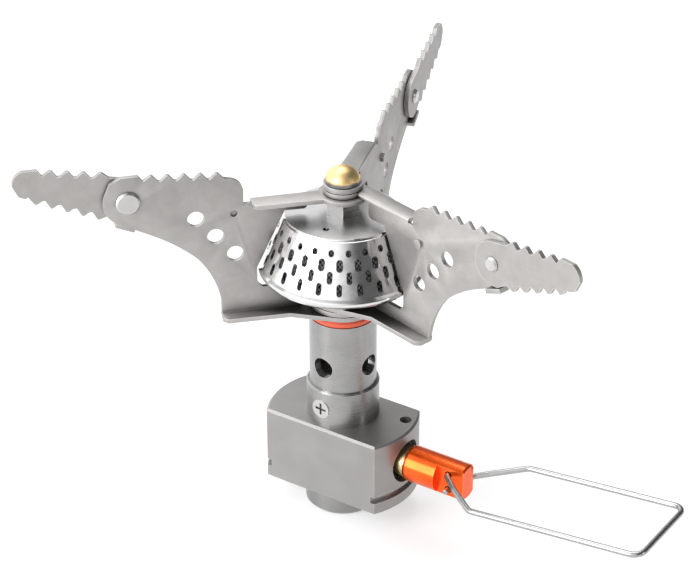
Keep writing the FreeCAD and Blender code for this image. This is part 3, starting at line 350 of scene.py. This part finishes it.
def orange_anodising():
    """Glossy orange anodised aluminium over fine turning marks."""
    g = Graph("orange_anodising")
    lines = g.noise(3.0, 3.0, (7.0, 0.4, 0.4))
    cloud = g.noise(0.4, 3.0)
    colour = g.mix(g.spread(cloud, 0.0, 1.0),
                   (0.88, 0.085, 0.004, 1), (0.96, 0.125, 0.006, 1))
    colour = g.mix(g.math("MULTIPLY", g.edges(0.2), 0.6), colour, (1.0, 0.5, 0.16, 1))
    g.link(colour, "Base Color")
    g.link(g.spread(lines, 0.16, 0.26), "Roughness")
    g.link(g.bump(g.math("ADD", lines, g.faced_rings(0.6)), 0.3, 0.014), "Normal")
    return g.finish(Metallic=0.72, Coat_Weight=0.15, Coat_Roughness=0.1)


def red_rubber():
    """Semi-matt orange-red sealing washer."""
    g = Graph("red_washer")
    speck = g.noise(7.0, 3.0)
    colour = g.mix(g.spread(speck, 0.0, 1.0), (0.58, 0.07, 0.03, 1), (0.74, 0.13, 0.06, 1))
    g.link(colour, "Base Color")
    g.link(g.spread(speck, 0.38, 0.55), "Roughness")
    g.link(g.bump(speck, 0.2, 0.02), "Normal")
    return g.finish(Metallic=0.0)


def dark_rubber(tone=0.012):
    """Matt black sealing rubber."""
    g = Graph("dark_rubber")
    speck = g.noise(9.0, 3.0)
    g.link(g.mix(speck, grey(tone * 0.7), grey(tone * 1.8)), "Base Color")
    g.link(g.spread(speck, 0.45, 0.65), "Roughness")
    g.link(g.bump(speck, 0.2, 0.02), "Normal")
    return g.finish(Metallic=0.0)


def black_anodising(name="black_anodising", tone=0.02):
    """Satin black finish with worn edges."""
    g = Graph(name)
    lines = g.noise(4.0, 3.0, (5.0, 0.6, 0.6))
    g.link(g.mix(g.math("MULTIPLY", g.edges(0.15), 0.5), grey(tone), grey(0.2)), "Base Color")
    g.link(g.spread(lines, 0.22, 0.36), "Roughness")
    g.link(g.bump(lines, 0.2, 0.01), "Normal")
    return g.finish(Metallic=0.6)


def woven_screen():
    """A wire cloth: white on the wire crowns for pale steel and painted highlights, near-black
    holes as painted shade of the burner's dark inside.
    """
    g = Graph("woven_screen")
    wires = g.weave(1.05)
    speck = g.noise(6.0, 2.0)
    # Painted shade and highlight: near-black in the holes, white on the wire crowns.
    bright = g.math("MULTIPLY", wires, g.remap(speck, 0.35, 0.6, 0.3, 1.0))
    g.link(g.mix(bright, grey(0.006), grey(1.0)), "Base Color")
    g.link(g.spread(speck, 0.3, 0.5), "Roughness")
    g.link(g.bump(wires, 0.5, 0.1), "Normal")
    return g.finish(Metallic=0.0)


def make_materials():
    """One material for each slot of the record, put on the slot's nodes."""
    made = {
        "titanium_plate": titanium_sheet(),
        "block_alloy": anodised_block(),
        "tube_alloy": turned_alloy("tube_alloy", 0.33, 0.28, drawn=0.85),
        "connector_alloy": turned_alloy("connector_alloy", 0.29, 0.34),
        "burner_steel": polished_steel("burner_steel", 0.7, 0.13, flat_rough=0.24),
        "post_steel": turned_alloy("post_steel", 0.2, 0.3, 3.0, drawn=0.0),
        "rivet_steel": turned_alloy("rivet_steel", 0.56, 0.34, 1.0),
        "handle_steel": polished_steel("handle_steel", 0.4, 0.24, 0.05),
        "screen_steel": woven_screen(),
        "brass": brass("brass"),
        "pale_brass": brass("pale_brass", (0.95, 0.7, 0.35, 1.0), 0.36),
        "sintered_brass": brass("sintered_brass", (0.6, 0.42, 0.2, 1.0), 0.5),
        "orange_anodised": orange_anodising(),
        "red_washer": red_rubber(),
        "seal_rubber": dark_rubber(),
        "black_gland": black_anodising(),
        "dark_screw": black_anodising("dark_screw", 0.035),
        "bright_screw": turned_alloy("bright_screw", 0.5, 0.3, 2.0),
    }
    for part in frame["record"]["subparts"]:
        dress(made[part["material_slot"]], part["node"])
    dress(made["pale_brass"], "dome_screw")
    return made


# ---------------------------------------------------------------- wire handle

def rounded_points(corners, radii, steps=9):
    """Points along straight runs joined by arcs that touch them."""
    points = [corners[0]]
    for index, radius in enumerate(radii, start=1):
        corner = corners[index]
        back = (corners[index - 1] - corner).normalized()
        ahead = (corners[index + 1] - corner).normalized()
        half = back.angle(ahead) / 2
        middle = corner + (back + ahead).normalized() * (radius / math.sin(half))
        first = corner + back * (radius / math.tan(half)) - middle
        last = corner + ahead * (radius / math.tan(half)) - middle
        axis, angle = first.cross(last), first.angle(last)
        points += [middle + Matrix.Rotation(angle * step / steps, 3, axis) @ first
                   for step in range(steps + 1)]
    return points + [corners[-1]]


def divided(points, longest):
    """The same line with no step longer than a given length."""
    result = [points[0]]
    for start, end in zip(points, points[1:]):
        count = max(1, math.ceil((end - start).length / longest))
        result += [start.lerp(end, (index + 1) / count) for index in range(count)]
    return result


def wire_mesh(name, points, radius, sides=20, round_start=False):
    """A round wire along points, with its first end slightly rounded where that end shows."""
    form = bmesh.new()
    tangents = []
    for index in range(len(points)):
        before = points[max(index - 1, 0)]
        after = points[min(index + 1, len(points) - 1)]
        tangents.append((after - before).normalized())
    across = tangents[0].orthogonal().normalized()
    rows = []
    plan = [(point, tangent, radius) for point, tangent in zip(points, tangents)]
    if round_start:
        edge = END_ROUNDING
        plan[0] = (points[0] + tangents[0] * edge, tangents[0], radius)
        plan.insert(0, (points[0] + tangents[0] * edge * 0.3, tangents[0], radius - edge * 0.35))
        plan.insert(0, (points[0], tangents[0], radius - edge))
    for point, tangent, size in plan:
        across = (across - tangent * across.dot(tangent)).normalized()
        upright = tangent.cross(across)
        angles = (2 * math.pi * side / sides for side in range(sides))
        spokes = (across * math.cos(angle) + upright * math.sin(angle) for angle in angles)
        rows.append([form.verts.new(point + spoke * size) for spoke in spokes])
    for row, following in zip(rows, rows[1:]):
        for side in range(sides):
            after = (side + 1) % sides
            form.faces.new((row[side], row[after], following[after], following[side]))
    form.faces.new(rows[0][::-1])
    form.faces.new(rows[-1])
    bmesh.ops.recalc_face_normals(form, faces=form.faces)
    return new_piece(name, form)


def new_piece(name, form, sharp=35.0):
    """An object from a mesh form, smooth except where faces meet at more than an angle."""
    mesh = bpy.data.meshes.new(name)
    form.to_mesh(mesh)
    form.free()
    for face in mesh.polygons:
        face.use_smooth = True
    mesh.set_sharp_from_angle(angle=math.radians(sharp))
    piece = bpy.data.objects.new(name, mesh)
    bpy.context.scene.collection.objects.link(piece)
    return piece


def make_handle():
    """One bent wire: a loop on the handle's body and two elbows into the knob's holes."""
    low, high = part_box("handle_wire")
    pivot = Vector(HANDLE_PIVOT)
    forward = Vector((math.cos(TILT), 0, math.sin(TILT)))
    lift = Vector((-math.sin(TILT), 0, math.cos(TILT)))
    half = (high.y - low.y) / 2 - WIRE
    length = ((high - pivot).x - WIRE * math.cos(TILT)) / math.cos(TILT)

    def at(run, side, rise=0.0):
        return pivot + forward * run + Vector((0, side, 0)) + lift * rise

    bends = {-1: at(NEAR_BEND, -half), 1: at(FAR_BEND, half)}
    corners = {-1: at(length, -half), 1: at(length, half)}
    splits = {}
    for name, side in (("near", -1), ("far", 1)):
        rise = -side * SPREAD
        root = at(0, side * LEG_ROOT, rise)
        hole = pivot + Vector((0, side * TONGUE, rise))
        tip = pivot + Vector((0, -side * LEG_TIP, rise))
        splits[side] = root.lerp(bends[side], ELBOW_SHARE)
        mouth = hole + Vector((0, side * HOLE_RUN, 0))
        line = rounded_points([tip, mouth, splits[side]], [ELBOW_BEND])
        elbow = wire_mesh("handle_elbow_" + name, divided(line, ELBOW_STEP), WIRE, round_start=True)
        elbow.data.materials.append(MATERIALS["handle_steel"])
        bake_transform(elbow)
        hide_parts("handle_wire_ends")
    overlap = {side: splits[side].lerp(bends[side], -ELBOW_OVERLAP) for side in (-1, 1)}
    line = rounded_points([overlap[-1], bends[-1], corners[-1], corners[1], bends[1], overlap[1]],
                          [LOOP_BEND, LOOP_CORNER, LOOP_CORNER, LOOP_BEND], 12)
    loop = wire_mesh("handle_loop", divided(line, LOOP_STEP), WIRE, sides=24)
    loop.data.materials.append(MATERIALS["handle_steel"])
    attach(loop, "handle")
    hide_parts("handle_wire")


# ---------------------------------------------------------------- pot supports

def cad_copy(node):
    """A clean copy of a CAD mesh: welded, with its flat faces merged."""
    form = bmesh.new()
    form.from_mesh(NODES[node].data)
    bmesh.ops.remove_doubles(form, verts=form.verts, dist=2e-6)
    bmesh.ops.dissolve_limit(form, angle_limit=math.radians(1.0),
                             verts=form.verts, edges=form.edges)
    return form


def sharp_edges(form, angle):
    """Edges whose two faces meet at more than an angle in degrees."""
    return [edge for edge in form.edges
            if len(edge.link_faces) == 2 and edge.calc_face_angle(0.0) > math.radians(angle)]


def round_edges(form, edges, size, segments):
    """Rounds edges in place."""
    bmesh.ops.bevel(form, geom=edges, offset=size, offset_type="OFFSET", segments=segments,
                    profile=0.5, affect="EDGES", clamp_overlap=True, miter_outer="ARC")


def make_plates():
    """Each pot support's plate, with its folds rounded as bent sheet and its cut edges eased."""
    for name, azimuth in ARMS.items():
        node = name + "_arm_plate"
        form = cad_copy(node)
        inward = Matrix.Rotation(math.radians(-azimuth), 4, "Z")
        folds = {True: [], False: []}
        for edge in sharp_edges(form, FOLD_ANGLE):
            first, last = (inward @ vert.co for vert in edge.verts)
            along = last - first
            straight = abs(along.y) <= LEVEL and abs(along.z) <= LEVEL
            if straight and abs(along.x) >= FOLD_SHORTEST and abs(first.y) <= FOLD_NEAREST:
                folds[edge.is_convex].append(edge)
        for convex, size in ((True, FOLD_OUTSIDE), (False, FOLD_INSIDE)):
            live = [edge for edge in folds[convex] if edge.is_valid]
            if live:
                round_edges(form, live, size, FOLD_STEPS)
        round_edges(form, sharp_edges(form, EDGE_ANGLE), CUT_EDGE, EDGE_STEPS)
        piece = new_piece(name + "_support_plate", form)
        piece.data.materials.append(MATERIALS["titanium_plate"])
        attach(piece, name + "_arm")
        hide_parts(node)


# ---------------------------------------------------------------- camera, floor and light

def make_camera():
    """A long lens at the height and turn of the photograph."""
    turn = Matrix.Rotation(math.radians(CAMERA_AZIMUTH + 90.0), 4, "Z")
    rise = math.radians(CAMERA_RISE)
    place = Vector((CAMERA_SIDE, -CAMERA_DISTANCE * math.cos(rise),
                    CAMERA_AIM + CAMERA_DISTANCE * math.sin(rise)))
    data = bpy.data.cameras.new("camera")
    data.lens = CAMERA_LENS
    data.sensor_width = CAMERA_SENSOR
    data.clip_start = CAMERA_NEAR
    camera = bpy.data.objects.new("camera", data)
    bpy.context.scene.collection.objects.link(camera)
    pitch = Matrix.Rotation(math.pi / 2 - rise, 4, "X")
    camera.matrix_world = turn @ Matrix.Translation(place) @ pitch
    bpy.context.scene.camera = camera
    return turn


def make_floor():
    """A plain pale floor that runs out of sight on every side."""
    mesh = bpy.data.meshes.new("floor")
    form = bmesh.new()
    bmesh.ops.create_grid(form, x_segments=2, y_segments=2, size=FLOOR_HALF)
    form.to_mesh(mesh)
    form.free()
    floor = bpy.data.objects.new("floor", mesh)
    floor.location.z = SIZES["cad"][0][2] - FLOOR_DROP
    bpy.context.scene.collection.objects.link(floor)
    g = Graph("floor_white")
    paper = g.noise(0.02, 2.0)
    g.link(g.mix(paper, grey(0.55), grey(0.6)), "Base Color")
    floor.data.materials.append(g.finish(Roughness=0.9, Specular_IOR_Level=0.1,
                                         Emission_Color=grey(1.0),
                                         Emission_Strength=FLOOR_GLOW))
    floor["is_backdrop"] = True


def area_light(name, turn, place, aim, size, power):
    """A soft box, placed and aimed in the frame of the photographed side: right, away and up."""
    data = bpy.data.lights.new(name, "AREA")
    data.shape = "RECTANGLE"
    data.size, data.size_y = size
    data.energy = power
    light = bpy.data.objects.new(name, data)
    bpy.context.scene.collection.objects.link(light)
    spot = turn @ Vector(place)
    aim = turn @ Vector(aim)
    facing = (aim - spot).to_track_quat("-Z", "Y").to_matrix().to_4x4()
    light.matrix_world = Matrix.Translation(spot) @ facing


def make_world(turn):
    """A soft room: bright on the photographed side's left, dim on its right and overhead."""
    world = bpy.data.worlds.new("studio")
    world.use_nodes = True
    tree = world.node_tree
    nodes, links = tree.nodes, tree.links
    direction = nodes.new("ShaderNodeTexCoord").outputs["Generated"]

    def facing(way, low, high, start, end):
        """start to end as a direction turns towards a way, between two cosines."""
        dot = nodes.new("ShaderNodeVectorMath")
        dot.operation = "DOT_PRODUCT"
        links.new(direction, dot.inputs[0])
        dot.inputs[1].default_value = (turn.to_3x3() @ Vector(way)).normalized()
        ramp = nodes.new("ShaderNodeMapRange")
        ramp.interpolation_type = "SMOOTHSTEP"
        links.new(dot.outputs["Value"], ramp.inputs["Value"])
        limits = {"From Min": low, "From Max": high, "To Min": start, "To Max": end}
        for socket, value in limits.items():
            ramp.inputs[socket].default_value = value
        return ramp.outputs["Result"]

    side = facing((-1, -0.1, 0), -0.35, 0.4, ROOM_RIGHT, ROOM_LEFT)
    rise = facing((0, 0, 1), 0.6, 0.98, 1.0, ROOM_OVERHEAD)
    back = facing((0, 1, 0.1), 0.2, 0.95, 1.0, ROOM_BEHIND)
    first = nodes.new("ShaderNodeMath")
    second = nodes.new("ShaderNodeMath")
    for node, one, two in ((first, side, rise), (second, first.outputs[0], back)):
        node.operation = "MULTIPLY"
        links.new(one, node.inputs[0])
        links.new(two, node.inputs[1])
    background = nodes["Background"]
    background.inputs["Color"].default_value = ROOM_COLOUR
    links.new(second.outputs[0], background.inputs["Strength"])
    bpy.context.scene.world = world


def make_light(turn):
    """The room, two soft boxes above the object and a narrow one at its right."""
    make_world(turn)
    for name, (place, aim, size, power) in SOFT_BOXES.items():
        area_light(name, turn, place, aim, size, power)
    bpy.context.scene.view_settings.view_transform = "Standard"


# ---------------------------------------------------------------- build

MATERIALS = make_materials()
make_handle()
make_plates()
TURN = make_camera()
make_floor()
make_light(TURN)
SIZES["looks"] = [list(corner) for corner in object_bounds()]
